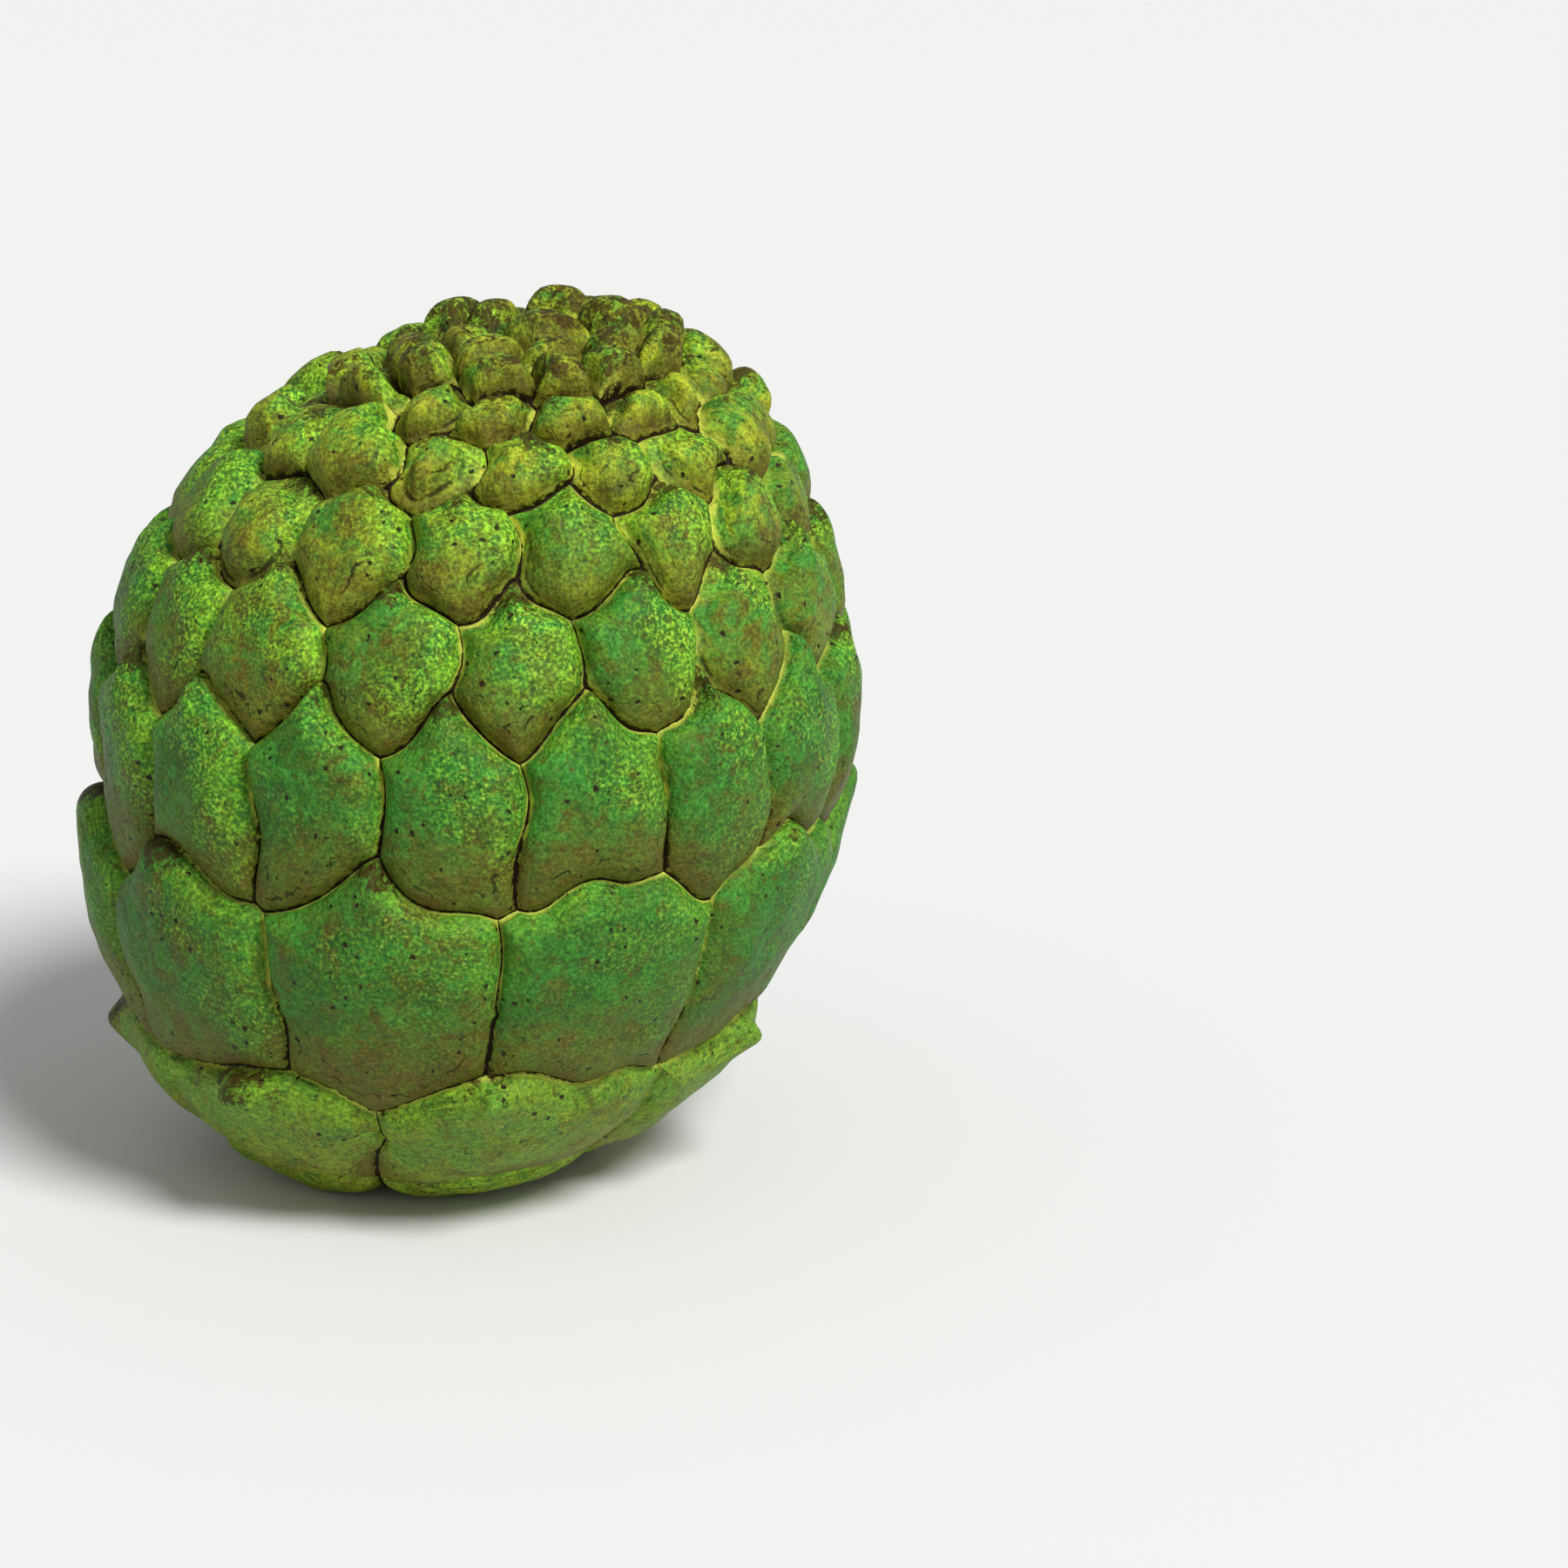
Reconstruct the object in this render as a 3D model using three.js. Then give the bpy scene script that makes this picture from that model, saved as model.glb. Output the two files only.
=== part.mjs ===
// A whole custard apple, as picked: one solid whose skin is raised into scales by a formula.
// Millimetres, +Z up. It stands on the scales round its stem end, with the small knobs of its tip on top.
import * as THREE from "three";

// Body without its scales. The widest level is height 0, and both ends drift towards the sides.
const GIRTH_RADIUS = 45.1;
const STEM_DEPTH = 54.6;
const TIP_HEIGHT = 47.3;
const STEM_FULLNESS = 0.72; // an ellipse is 1, and less squares the end off
const TIP_FULLNESS = 0.82;
const TAPER = 0.02; // how much slimmer the tip half is, as a share of the radius
const STEM_DRIFT = -8; // sideways place of the stem end
const TIP_DRIFT = 8.6; // sideways place of the tip
const LUMP = 0.012; // share of the radius by which the cross-section is out of round

// Stem end: a dimple round the scar of the stalk, and the flat that the fruit stands on.
const DIMPLE_DEPTH = 5;
const DIMPLE_RADIUS = 9;
const STANDING_LEVEL = -54; // what hangs lower is pressed flat

// Where the part's origin is in the body's own frame: the middle of the outline, on the floor.
const ORIGIN = new THREE.Vector3(-1.3, 0, STANDING_LEVEL);

// Rows of scales from the stem scar to the tip. polar is the row's angle from the stem end in degrees,
// turn the longitude of its first scale, scatter how irregular it is, and spire the extra reach of its
// pointed upper end. relief is how far a scale stands out, crown how square its dome is, beak the share
// of the relief that is kept for its upper end, and hook the extra that its very tip juts out. Half of
// the scales of a row have a flat belt round a boss, up to margin of the scale's reach wide.
const ROWS = [
  { polar: 0.1, count: 1, turn: 0, scatter: 0, spire: 0,
    relief: 0.6, crown: 3, beak: 0, hook: 0, margin: 0 },
  { polar: 19, count: 5, turn: 20, scatter: 0.06, spire: 0,
    relief: 2.2, crown: 3.4, beak: 0.1, hook: 0, margin: 0 },
  { polar: 41, count: 7, turn: -32, scatter: 0.05, spire: 0,
    relief: 3, crown: 5, beak: 0.5, hook: 5, margin: 0 },
  { polar: 69, count: 10, turn: -9, scatter: 0.04, spire: 0.4,
    relief: 3.7, crown: 5.5, beak: 0.62, hook: 1.5, margin: 0 },
  { polar: 95, count: 17, turn: -22, scatter: 0.05, spire: 0.3,
    relief: 3.8, crown: 5, beak: 0.52, hook: 0.8, margin: 0 },
  { polar: 115, count: 17, turn: -12.4, scatter: 0.06, spire: 0.3,
    relief: 3.9, crown: 4.8, beak: 0.4, hook: 0.3, margin: 0.12 },
  { polar: 132, count: 17, turn: -3.5, scatter: 0.09, spire: 0.1,
    relief: 4.2, crown: 4.3, beak: 0.25, hook: 0, margin: 0.36 },
  { polar: 146, count: 17, turn: 6.5, scatter: 0.14, spire: 0,
    relief: 4.5, crown: 4.1, beak: 0.15, hook: 0, margin: 0.45 },
  { polar: 157, count: 15, turn: 15, scatter: 0.16, spire: 0,
    relief: 4.9, crown: 3.8, beak: 0.1, hook: 0, margin: 0.36 },
  { polar: 165.5, count: 12, turn: 12, scatter: 0.16, spire: 0,
    relief: 5.5, crown: 3.2, beak: 0, hook: 0, margin: 0.1 },
  { polar: 172.5, count: 7, turn: 10, scatter: 0.15, spire: 0,
    relief: 6, crown: 3.4, beak: 0, hook: 0, margin: 0 },
  { polar: 179.8, count: 1, turn: 0, scatter: 0, spire: 0,
    relief: 5.6, crown: 3.4, beak: 0, hook: 0, margin: 0 },
];

// A scale's reach, as shares of the gap between rows: it is rounded below and pointed above.
const REACH_UP = 0.68;
const REACH_DOWN = 0.4;
const SEAT_LOW = 0.13; // how far its centre sits under its middle
const POINT_POWER = 1.3; // 1 makes the upper end a straight-sided point
const BOWL_POWER = 2.1; // 2 makes the lower end an ellipse
const SPIRE_WIDTH = 0.35; // as a share of half the scale's width
const HOOK_WIDTH = 4.5;
const LEAN = 0.4; // how far a beaked scale leans towards the fruit's tip, as a share of how far it stands out
const BELT = 0.3; // height of the belt round a boss, as a share of the boss's
const BELT_CROWN = 8;
const BELT_SKEW = 0.5; // how much wider the belt is at the upper end, and narrower at the lower one
const SHELF = 0.15; // how much squarer a dome is at its upper edge than at its lower one
const SIZE_SCATTER = 1.6;
const RELIEF_SCATTER = 2;

// The whole pattern sways a little: how far, in millimetres, and in radians a millimetre.
const SWAY = 0.7;
const SWAY_WAVE = 0.45;

// Mesh of a scale: its outline, and rings inside it as shares of the way out to the outline.
const OUTLINE_STEP = 2.5;
const RINGS = [
  { share: 1, every: 1 },
  { share: 0.84, every: 1 },
  { share: 0.48, every: 2 },
];
const SWEEP_STEPS = 120;
const CORNER_MERGE = 1.3;
const EDGE_SAMPLES = 24;
const HALVINGS = 26;
const NEIGHBOURS = 14;

const UP = new THREE.Vector3(0, 0, 1);
const NO_LEAN = new THREE.Vector3();
const radians = THREE.MathUtils.degToRad;

// A repeatable number from 0 to 1 for a scale and a purpose.
function draw(number, purpose) {
  const value = Math.sin(number * 12.9898 + purpose * 78.233) * 43758.5453;
  return value - Math.floor(value);
}

// The body's cross-section at a height: its mean radius and how far its centre has drifted along X.
function crossSection(height) {
  const low = height < 0;
  const climb = THREE.MathUtils.clamp(height / (low ? STEM_DEPTH : TIP_HEIGHT), -1, 1);
  const swell = Math.sqrt(1 - climb * climb) ** (low ? STEM_FULLNESS : TIP_FULLNESS);
  return {
    radius: GIRTH_RADIUS * swell * (1 - TAPER * climb),
    drift: low ? -STEM_DRIFT * climb : TIP_DRIFT * climb ** 3,
  };
}

// The cross-section's share of its mean radius at a longitude. Longitude 0 faces -Y and 90 faces +X.
function outOfRound(longitude) {
  return 1 + LUMP * Math.cos(2 * longitude + 0.7) + 0.6 * LUMP * Math.cos(3 * longitude - 1.1);
}

// The point of the body at an angle from the stem end and a longitude, both in degrees.
function bodyPoint(polar, turn) {
  const rise = -Math.cos(radians(polar));
  const height = rise * (rise < 0 ? STEM_DEPTH : TIP_HEIGHT);
  const { radius, drift } = crossSection(height);
  const reach = radius * outOfRound(radians(turn));
  return new THREE.Vector3(
    drift + reach * Math.sin(radians(turn)),
    -reach * Math.cos(radians(turn)),
    height,
  );
}

// The point where a ray from the body's middle through p leaves the body.
function ontoBody(p) {
  const direction = p.clone().normalize();
  const inside = (distance) => {
    const q = direction.clone().multiplyScalar(distance);
    const { radius, drift } = crossSection(q.z);
    const longitude = Math.atan2(q.x - drift, -q.y);
    return Math.hypot(q.x - drift, q.y) < radius * outOfRound(longitude);
  };
  let near = 0;
  let far = 2 * GIRTH_RADIUS;
  for (let k = 0; k < HALVINGS; k += 1) {
    const middle = (near + far) / 2;
    if (inside(middle)) near = middle;
    else far = middle;
  }
  return direction.multiplyScalar(near);
}

// The body's outward normal at one of its points, from two short steps along the surface.
function bodyNormal(p) {
  const step = 0.2;
  const side = new THREE.Vector3().crossVectors(UP, p).normalize();
  const along = new THREE.Vector3().crossVectors(p, side).normalize();
  const across = ontoBody(p.clone().addScaledVector(side, step))
    .sub(ontoBody(p.clone().addScaledVector(side, -step)));
  const upward = ontoBody(p.clone().addScaledVector(along, step))
    .sub(ontoBody(p.clone().addScaledVector(along, -step)));
  return across.cross(upward).normalize();
}

// A point moved a little along each axis by slow waves, so that borders between scales aren't straight.
function swayed(p) {
  return new THREE.Vector3(
    p.x + SWAY * Math.sin(SWAY_WAVE * (p.y + 0.7 * p.z) + 1),
    p.y + SWAY * Math.sin(SWAY_WAVE * (p.z - 0.8 * p.x) + 2),
    p.z + SWAY * Math.sin(SWAY_WAVE * (p.x + 0.9 * p.y)),
  );
}

// Every scale, with its centre on the body, its own directions and its reach each way.
function placeScales() {
  const scales = [];
  ROWS.forEach((row, k) => {
    const level = (other) => bodyPoint(ROWS[other].polar, 0);
    const below = Math.max(k - 1, 0);
    const above = Math.min(k + 1, ROWS.length - 1);
    const steps = above - below;
    const gap = (level(k).distanceTo(level(below)) + level(k).distanceTo(level(above))) / steps;
    const polarGap = (ROWS[above].polar - ROWS[below].polar) / steps;
    const lone = row.count === 1;
    const loneReach = (k === 0 ? REACH_DOWN : REACH_UP) * gap;
    const girth = 2 * Math.PI * crossSection(level(k).z).radius;
    for (let m = 0; m < row.count; m += 1) {
      const number = scales.length + 1;
      const swing = (purpose) => row.scatter * (2 * draw(number, purpose) - 1);
      const size = 1 + (SIZE_SCATTER / 2) * swing(3);
      const seat = lone ? 0 : SEAT_LOW * polarGap;
      const turn = row.turn + (360 * (m + swing(1))) / row.count;
      const centre = bodyPoint(row.polar + (swing(2) * polarGap) / 2 - seat, turn);
      const out = bodyNormal(centre);
      const east = new THREE.Vector3().crossVectors(UP, centre).normalize();
      if (lone) east.set(1, 0, 0);
      const north = new THREE.Vector3().crossVectors(out, east).normalize();
      east.crossVectors(north, out);
      scales.push({
        number, row, centre, out, east, north,
        halfWidth: lone ? loneReach : (girth / row.count / 2) * size,
        reachUp: lone ? loneReach : REACH_UP * gap * size,
        reachDown: lone ? loneReach : REACH_DOWN * gap * size,
        relief: row.relief * (1 + RELIEF_SCATTER * swing(4)),
        margin: row.margin * Math.max(2 * draw(number, 6) - 1, 0),
        lean: north.clone().multiplyScalar(LEAN * row.beak),
      });
    }
  });
  scales.forEach((scale) => {
    const byDistance = (a, b) => a.centre.distanceTo(scale.centre) - b.centre.distanceTo(scale.centre);
    scale.neighbours = scales.filter((s) => s !== scale).sort(byDistance).slice(0, NEIGHBOURS);
  });
  return scales;
}

// How far p is from a scale's centre, counted in that scale's own reach. A point belongs to the scale
// for which this is least.
function claim(scale, p) {
  const d = p.clone().sub(scale.centre);
  const rise = d.dot(scale.north);
  const power = rise > 0 ? POINT_POWER : BOWL_POWER;
  const across = Math.abs(d.dot(scale.east)) / scale.halfWidth;
  const spire = 1 + scale.row.spire * Math.exp(-((across / SPIRE_WIDTH) ** 2));
  const along = rise > 0 ? rise / (scale.reachUp * spire) : -rise / scale.reachDown;
  const deep = Math.abs(d.dot(scale.out)) / scale.halfWidth;
  return (across ** power + along ** power + deep ** power) ** (1 / power);
}

// The point of the body at a bearing and a distance from a scale's centre, over its tangent plane.
function walk(scale, bearing, distance) {
  return ontoBody(scale.centre.clone()
    .addScaledVector(scale.east, distance * Math.cos(bearing))
    .addScaledVector(scale.north, distance * Math.sin(bearing)));
}

// Where a scale gives way to its rivals at a bearing, and which of them is there.
function border(scale, bearing, rivals) {
  const strongest = (p) => rivals.reduce((best, s) => {
    const value = claim(s, p);
    return value < best.value ? { value, owner: s } : best;
  }, { value: Infinity, owner: null });
  let near = 0;
  let far = 2.5 * Math.max(scale.halfWidth, scale.reachUp, scale.reachDown);
  for (let k = 0; k < HALVINGS; k += 1) {
    const middle = (near + far) / 2;
    const p = walk(scale, bearing, middle);
    if (claim(scale, p) < strongest(p).value) near = middle;
    else far = middle;
  }
  const point = walk(scale, bearing, far);
  return { point, bearing, owner: strongest(point).owner };
}

// The corners of a scale: the bearings where its rival changes, narrowed down by halving.
function findCorners(scale) {
  const corners = [];
  const at = (bearing) => border(scale, bearing, scale.neighbours);
  let previous = at(0);
  for (let k = 1; k <= SWEEP_STEPS; k += 1) {
    const next = at((2 * Math.PI * k) / SWEEP_STEPS);
    if (next.owner !== previous.owner) {
      let a = previous;
      let b = next;
      for (let n = 0; n < 12; n += 1) {
        const middle = at((a.bearing + b.bearing) / 2);
        if (middle.owner === previous.owner) a = middle;
        else b = middle;
      }
      corners.push({ scale, bearing: b.bearing, point: b.point });
    }
    previous = next;
  }
  return corners;
}

// Corners that several scales found in the same place become one shared vertex.
function shareCorners(corners, vertices) {
  const groups = [];
  corners.forEach((corner) => {
    const near = groups.filter((g) => g.some((c) => c.point.distanceTo(corner.point) < CORNER_MERGE));
    const merged = [corner, ...near.flat()];
    near.forEach((g) => groups.splice(groups.indexOf(g), 1));
    groups.push(merged);
  });
  groups.forEach((group) => {
    const mean = new THREE.Vector3();
    group.forEach((c) => mean.addScaledVector(c.point, 1 / group.length));
    const vertex = vertices.length;
    vertices.push({ seat: ontoBody(mean), rise: 0, lean: NO_LEAN });
    group.forEach((c) => { c.vertex = vertex; });
  });
}

// The vertices between two corners of a scale, evenly along the border it shares with one rival.
// Both scales ask for it, and the second gets the first one's vertices the other way round.
function shareEdge(scale, from, to, vertices, edges) {
  const key = `${Math.min(from.vertex, to.vertex)}-${Math.max(from.vertex, to.vertex)}`;
  if (edges.has(key)) return [...edges.get(key)].reverse();
  const turn = (to.bearing - from.bearing + 2 * Math.PI) % (2 * Math.PI);
  const rival = border(scale, from.bearing + turn / 2, scale.neighbours).owner;
  const line = [vertices[from.vertex].seat];
  for (let k = 1; k < EDGE_SAMPLES; k += 1) {
    line.push(border(scale, from.bearing + (turn * k) / EDGE_SAMPLES, [rival]).point);
  }
  line.push(vertices[to.vertex].seat);
  const path = new THREE.CurvePath();
  line.slice(1).forEach((p, k) => path.add(new THREE.LineCurve3(line[k], p)));
  const pieces = 2 * Math.max(1, Math.round(path.getLength() / OUTLINE_STEP / 2));
  const inner = [];
  for (let k = 1; k < pieces; k += 1) {
    inner.push(vertices.length);
    vertices.push({ seat: ontoBody(path.getPointAt(k / pieces)), rise: 0, lean: NO_LEAN });
  }
  edges.set(key, inner);
  return inner;
}

// How far the skin stands out at a share of the way to a scale's outline, at a height on the scale that
// runs from -1 at its lowest point to 1 at its tip, and at a distance from that tip.
function relief(scale, share, height, fromTip) {
  const { crown, beak, hook } = scale.row;
  const inner = Math.min(share / (1 - scale.margin * (1 + BELT_SKEW * height)), 1);
  const boss = (1 - inner ** (crown * (1 + SHELF * height))) ** 0.85;
  const belt = scale.margin > 0 ? BELT * (1 - share ** BELT_CROWN) : 0;
  const dome = Math.max(boss, belt);
  const lift = THREE.MathUtils.smoothstep(height, -1.1, 0.75);
  const tip = Math.exp(-((fromTip / HOOK_WIDTH) ** 2));
  return dome * (scale.relief * (1 - beak + beak * lift) + hook * tip);
}

// The skin: every scale is an outline shared with its neighbours and rings that close on its centre.
function buildSkin() {
  const scales = placeScales();
  const vertices = [];
  const triangles = [];
  const corners = new Map(scales.map((scale) => [scale, findCorners(scale)]));
  shareCorners([...corners.values()].flat(), vertices);
  const edges = new Map();
  scales.forEach((scale) => {
    const own = corners.get(scale).filter((c, k, all) => c.vertex !== all[(k + 1) % all.length].vertex);
    const outline = own.flatMap((corner, k) => {
      const next = own[(k + 1) % own.length];
      return [corner.vertex, ...shareEdge(scale, corner, next, vertices, edges)];
    });
    const along = (p) => p.clone().sub(scale.centre).dot(scale.north);
    const byHeight = outline.map((v) => vertices[v].seat).sort((p, q) => along(p) - along(q));
    const bottom = byHeight[0];
    const tip = byHeight[byHeight.length - 1];
    const raised = (share, seat) => {
      const height = along(seat) / Math.abs(along(along(seat) > 0 ? tip : bottom));
      return { seat, rise: relief(scale, share, height, seat.distanceTo(tip)), lean: scale.lean };
    };
    const rings = RINGS.map(({ share, every }) => {
      if (share === 1) return outline;
      return outline.filter((v, k) => k % every === 0).map((v) => {
        const seat = ontoBody(scale.centre.clone().lerp(vertices[v].seat, share));
        return vertices.push(raised(share, seat)) - 1;
      });
    });
    const hub = vertices.push(raised(0, scale.centre.clone())) - 1;
    rings.forEach((outer, k) => {
      const inner = rings[k + 1] ?? [hub];
      joinRings(outer, inner, triangles);
    });
  });
  return { vertices, triangles };
}

// Triangles between a ring and the next one in, which has as many vertices, half as many, or one.
function joinRings(outer, inner, triangles) {
  outer.forEach((a, k) => {
    const b = outer[(k + 1) % outer.length];
    const c = inner[Math.floor(((k + 1) % outer.length) * inner.length / outer.length)];
    const d = inner[Math.floor(k * inner.length / outer.length)];
    triangles.push([a, b, c]);
    if (c !== d) triangles.push([a, c, d]);
  });
}

// The sway of the pattern, the skin's rise, the stem dimple, the flat underneath, and the part's origin.
function settle(vertex) {
  const { rise, lean } = vertex;
  const seat = ontoBody(swayed(vertex.seat));
  const p = seat.clone().addScaledVector(bodyNormal(seat), rise).addScaledVector(lean, rise);
  const fromStem = Math.hypot(p.x - STEM_DRIFT, p.y) / DIMPLE_RADIUS;
  if (p.z < 0) p.z += DIMPLE_DEPTH * Math.exp(-fromStem * fromStem);
  p.z = Math.max(p.z, STANDING_LEVEL);
  return p.sub(ORIGIN);
}

function custardApple() {
  const { vertices, triangles } = buildSkin();
  const geometry = new THREE.BufferGeometry().setFromPoints(vertices.map(settle));
  geometry.setIndex(triangles.flat());
  geometry.computeVertexNormals();
  const skin = new THREE.MeshStandardMaterial({ color: 0x6f9a35, roughness: 0.6, metalness: 0 });
  const mesh = new THREE.Mesh(geometry, skin);
  mesh.name = "custard_apple";
  return mesh;
}

const group = new THREE.Group();
group.add(custardApple());

export default group;
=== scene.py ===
"""Custard apple: the skin of the whole fruit, scale by scale, and the stage that it stands on."""

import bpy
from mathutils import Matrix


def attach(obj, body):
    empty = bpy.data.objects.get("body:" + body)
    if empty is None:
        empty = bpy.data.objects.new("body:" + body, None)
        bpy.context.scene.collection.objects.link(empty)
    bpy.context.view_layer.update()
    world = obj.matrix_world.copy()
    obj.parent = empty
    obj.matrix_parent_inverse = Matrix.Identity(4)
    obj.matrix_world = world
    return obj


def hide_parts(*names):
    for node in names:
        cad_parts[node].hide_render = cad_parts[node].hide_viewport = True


bl_info = {
    "name": "Custard apple",
    "version": (1, 0, 0),
    "blender": (4, 5, 0),
    "location": "View3D > Sidebar > Custard apple",
    "description": "Grows the scaly skin of a custard apple and sets a soft stage for it",
    "category": "Add Mesh",
}

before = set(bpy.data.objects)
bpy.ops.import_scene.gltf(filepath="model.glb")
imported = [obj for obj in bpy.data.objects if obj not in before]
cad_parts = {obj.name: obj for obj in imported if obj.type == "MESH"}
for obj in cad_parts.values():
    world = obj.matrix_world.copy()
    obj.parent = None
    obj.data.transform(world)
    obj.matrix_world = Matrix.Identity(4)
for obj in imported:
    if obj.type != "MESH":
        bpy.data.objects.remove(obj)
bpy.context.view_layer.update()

import math
from collections import namedtuple

import bpy
import numpy as np
from mathutils import Vector, noise

FRUIT_NODE = "custard_apple"
MM = 0.001

# Body without its scales, in millimetres. It is widest at height 0, and both ends drift sideways.
GIRTH_RADIUS = 45.1
STEM_DEPTH = 54.6
TIP_HEIGHT = 47.3
STEM_FULLNESS = 0.72
TIP_FULLNESS = 0.82
TAPER = 0.02
STEM_DRIFT = -8.0
TIP_DRIFT = 8.6
LUMP = 0.012

# Stem end, and the part's origin in the body's own frame.
DIMPLE_DEPTH = 5.0
DIMPLE_RADIUS = 9.0
STANDING_LEVEL = -54.0
ORIGIN = np.array([-1.3, 0.0, STANDING_LEVEL])

# Rows of scales from the stem scar to the tip, as in the solid.
Row = namedtuple("Row", "polar count turn scatter spire relief crown beak hook margin")
ROWS = [
    Row(0.1, 1, 0, 0, 0, 0.6, 3, 0, 0, 0),
    Row(19, 5, 20, 0.06, 0, 2.2, 3.4, 0.1, 0, 0),
    Row(41, 7, -32, 0.05, 0, 3, 5, 0.5, 5, 0),
    Row(69, 10, -9, 0.04, 0.4, 3.7, 5.5, 0.62, 1.5, 0),
    Row(95, 17, -22, 0.05, 0.3, 3.8, 5, 0.52, 0.8, 0),
    Row(115, 17, -12.4, 0.06, 0.3, 3.9, 4.8, 0.4, 0.3, 0.12),
    Row(132, 17, -3.5, 0.09, 0.1, 4.2, 4.3, 0.25, 0, 0.36),
    Row(146, 17, 6.5, 0.14, 0, 4.5, 4.1, 0.15, 0, 0.45),
    Row(157, 15, 15, 0.16, 0, 4.9, 3.8, 0.1, 0, 0.36),
    Row(165.5, 12, 12, 0.16, 0, 5.5, 3.2, 0, 0, 0.1),
    Row(172.5, 7, 10, 0.15, 0, 6, 3.4, 0, 0, 0),
    Row(179.8, 1, 0, 0, 0, 5.6, 3.4, 0, 0, 0),
]
REACH_UP = 0.68
REACH_DOWN = 0.4
SEAT_LOW = 0.13
POINT_POWER = 1.3
BOWL_POWER = 2.1
SPIRE_WIDTH = 0.35
HOOK_WIDTH = 4.5
LEAN = 0.4
BELT = 0.3
BELT_CROWN = 8
BELT_SKEW = 0.5
BEYOND_BOSS = 1.1
BOSS_ROUNDING = 0.85
LIFT_HEIGHTS = (-1.1, 0.75)
SHELF = 0.15
SIZE_SCATTER = 1.6
RELIEF_SCATTER = 2.0
SWAY = 0.7
SWAY_WAVE = 0.45
SWEEP_STEPS = 120
CORNER_MERGE = 1.3
EDGE_SAMPLES = 24
HALVINGS = 24
CORNER_HALVINGS = 12
NEIGHBOURS = 14
FARTHEST_BORDER = 2.5
NORMAL_STEP = 0.2

# Fine mesh, in millimetres: spacing along a scale's outline, the first rings inside it and the
# step between the others, and the notch along it.
OUTLINE_STEP = 0.72
RING_STARTS = [0.2, 0.48, 0.85, 1.3, 1.85, 2.5]
RING_STEP = 0.74
NOTCH_DEPTH = 0.35
NOTCH_WIDTH = 0.3

# Rings of a scale: how far in the last one lies, as a share, and how many points a ring has.
LAST_RING = 0.93
RING_CROWDING = 1.05
FEWEST_IN_RING = 6

# Dents of the rind: size and depth of each kind, in millimetres. Noise at the level makes no dent.
DENTS = [(5.5, 0.45), (2.1, 0.14)]
DENT_LEVEL = 0.6
DENT_FADE = 6

# Finish of the rind, with the depth of its finest relief in millimetres.
SHINE = 0.14
BUMP_STRENGTH = 0.75
BUMP_DEPTH = 0.55

# Stage: floor in metres, direction of the broad light, and how wide it looks, in degrees.
FLOOR_SIZE = 6.0
FLOOR_ROUGHNESS = 0.7
KEY_DIRECTION = (0.42, -0.5, 0.76)
KEY_SPREAD = 20

# The photograph's framing: pixels for each millimetre at the fruit, and the pixel of its middle.
PHOTO_WIDTH = 1800
PIXELS_PER_MM = 9.3
MIDDLE_PIXEL = (552, 840)
SENSOR = 36.0

UP = np.array([0.0, 0.0, 1.0])


def draw(number, purpose):
    """A repeatable number from 0 to 1 for a scale and a purpose."""
    value = math.sin(number * 12.9898 + purpose * 78.233) * 43758.5453
    return value - math.floor(value)


def unit(vectors):
    return vectors / np.linalg.norm(vectors, axis=-1, keepdims=True)


def dot(a, b):
    return np.sum(a * b, axis=-1)


def smoothstep(value, low, high):
    share = np.clip((value - low) / (high - low), 0, 1)
    return share * share * (3 - 2 * share)


def cross_section(height):
    """Mean radius and sideways drift of the body at a height."""
    low = height < 0
    climb = np.clip(height / np.where(low, STEM_DEPTH, TIP_HEIGHT), -1, 1)
    swell = np.sqrt(1 - climb ** 2) ** np.where(low, STEM_FULLNESS, TIP_FULLNESS)
    drift = np.where(low, -STEM_DRIFT * climb, TIP_DRIFT * climb ** 3)
    return GIRTH_RADIUS * swell * (1 - TAPER * climb), drift


def out_of_round(longitude):
    """The cross-section's share of its mean radius at a longitude."""
    return 1 + LUMP * np.cos(2 * longitude + 0.7) + 0.6 * LUMP * np.cos(3 * longitude - 1.1)


def body_point(polar, turn):
    """The body's point at an angle from the stem end and a longitude, both in degrees."""
    rise = -math.cos(math.radians(polar))
    height = rise * (STEM_DEPTH if rise < 0 else TIP_HEIGHT)
    radius, drift = cross_section(np.float64(height))
    longitude = math.radians(turn)
    reach = radius * out_of_round(longitude)
    return np.array([drift + reach * math.sin(longitude), -reach * math.cos(longitude), height])


def onto_body(points):
    """Where rays from the body's middle through the points leave the body."""
    direction = unit(points)
    near = np.zeros(points.shape[:-1])
    far = np.full(points.shape[:-1], 2 * GIRTH_RADIUS)
    for _ in range(HALVINGS):
        middle = (near + far) / 2
        q = direction * middle[..., None]
        radius, drift = cross_section(q[..., 2])
        reach = np.hypot(q[..., 0] - drift, q[..., 1])
        longitude = np.arctan2(q[..., 0] - drift, -q[..., 1])
        inside = reach < radius * out_of_round(longitude)
        near = np.where(inside, middle, near)
        far = np.where(inside, far, middle)
    return direction * near[..., None]


def body_normals(points):
    """Outward normals of the body, from two short steps along the surface."""
    side = unit(np.cross(UP, points))
    along = unit(np.cross(points, side))
    steps = [onto_body(points + NORMAL_STEP * way) - onto_body(points - NORMAL_STEP * way)
             for way in (side, along)]
    return unit(np.cross(*steps))


def swayed(points):
    """Points moved a little by slow waves, so that the borders between scales aren't straight."""
    x, y, z = points[..., 0], points[..., 1], points[..., 2]
    waves = (np.sin(SWAY_WAVE * (y + 0.7 * z) + 1), np.sin(SWAY_WAVE * (z - 0.8 * x) + 2),
             np.sin(SWAY_WAVE * (x + 0.9 * y)))
    return points + SWAY * np.stack(waves, axis=-1)


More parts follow.
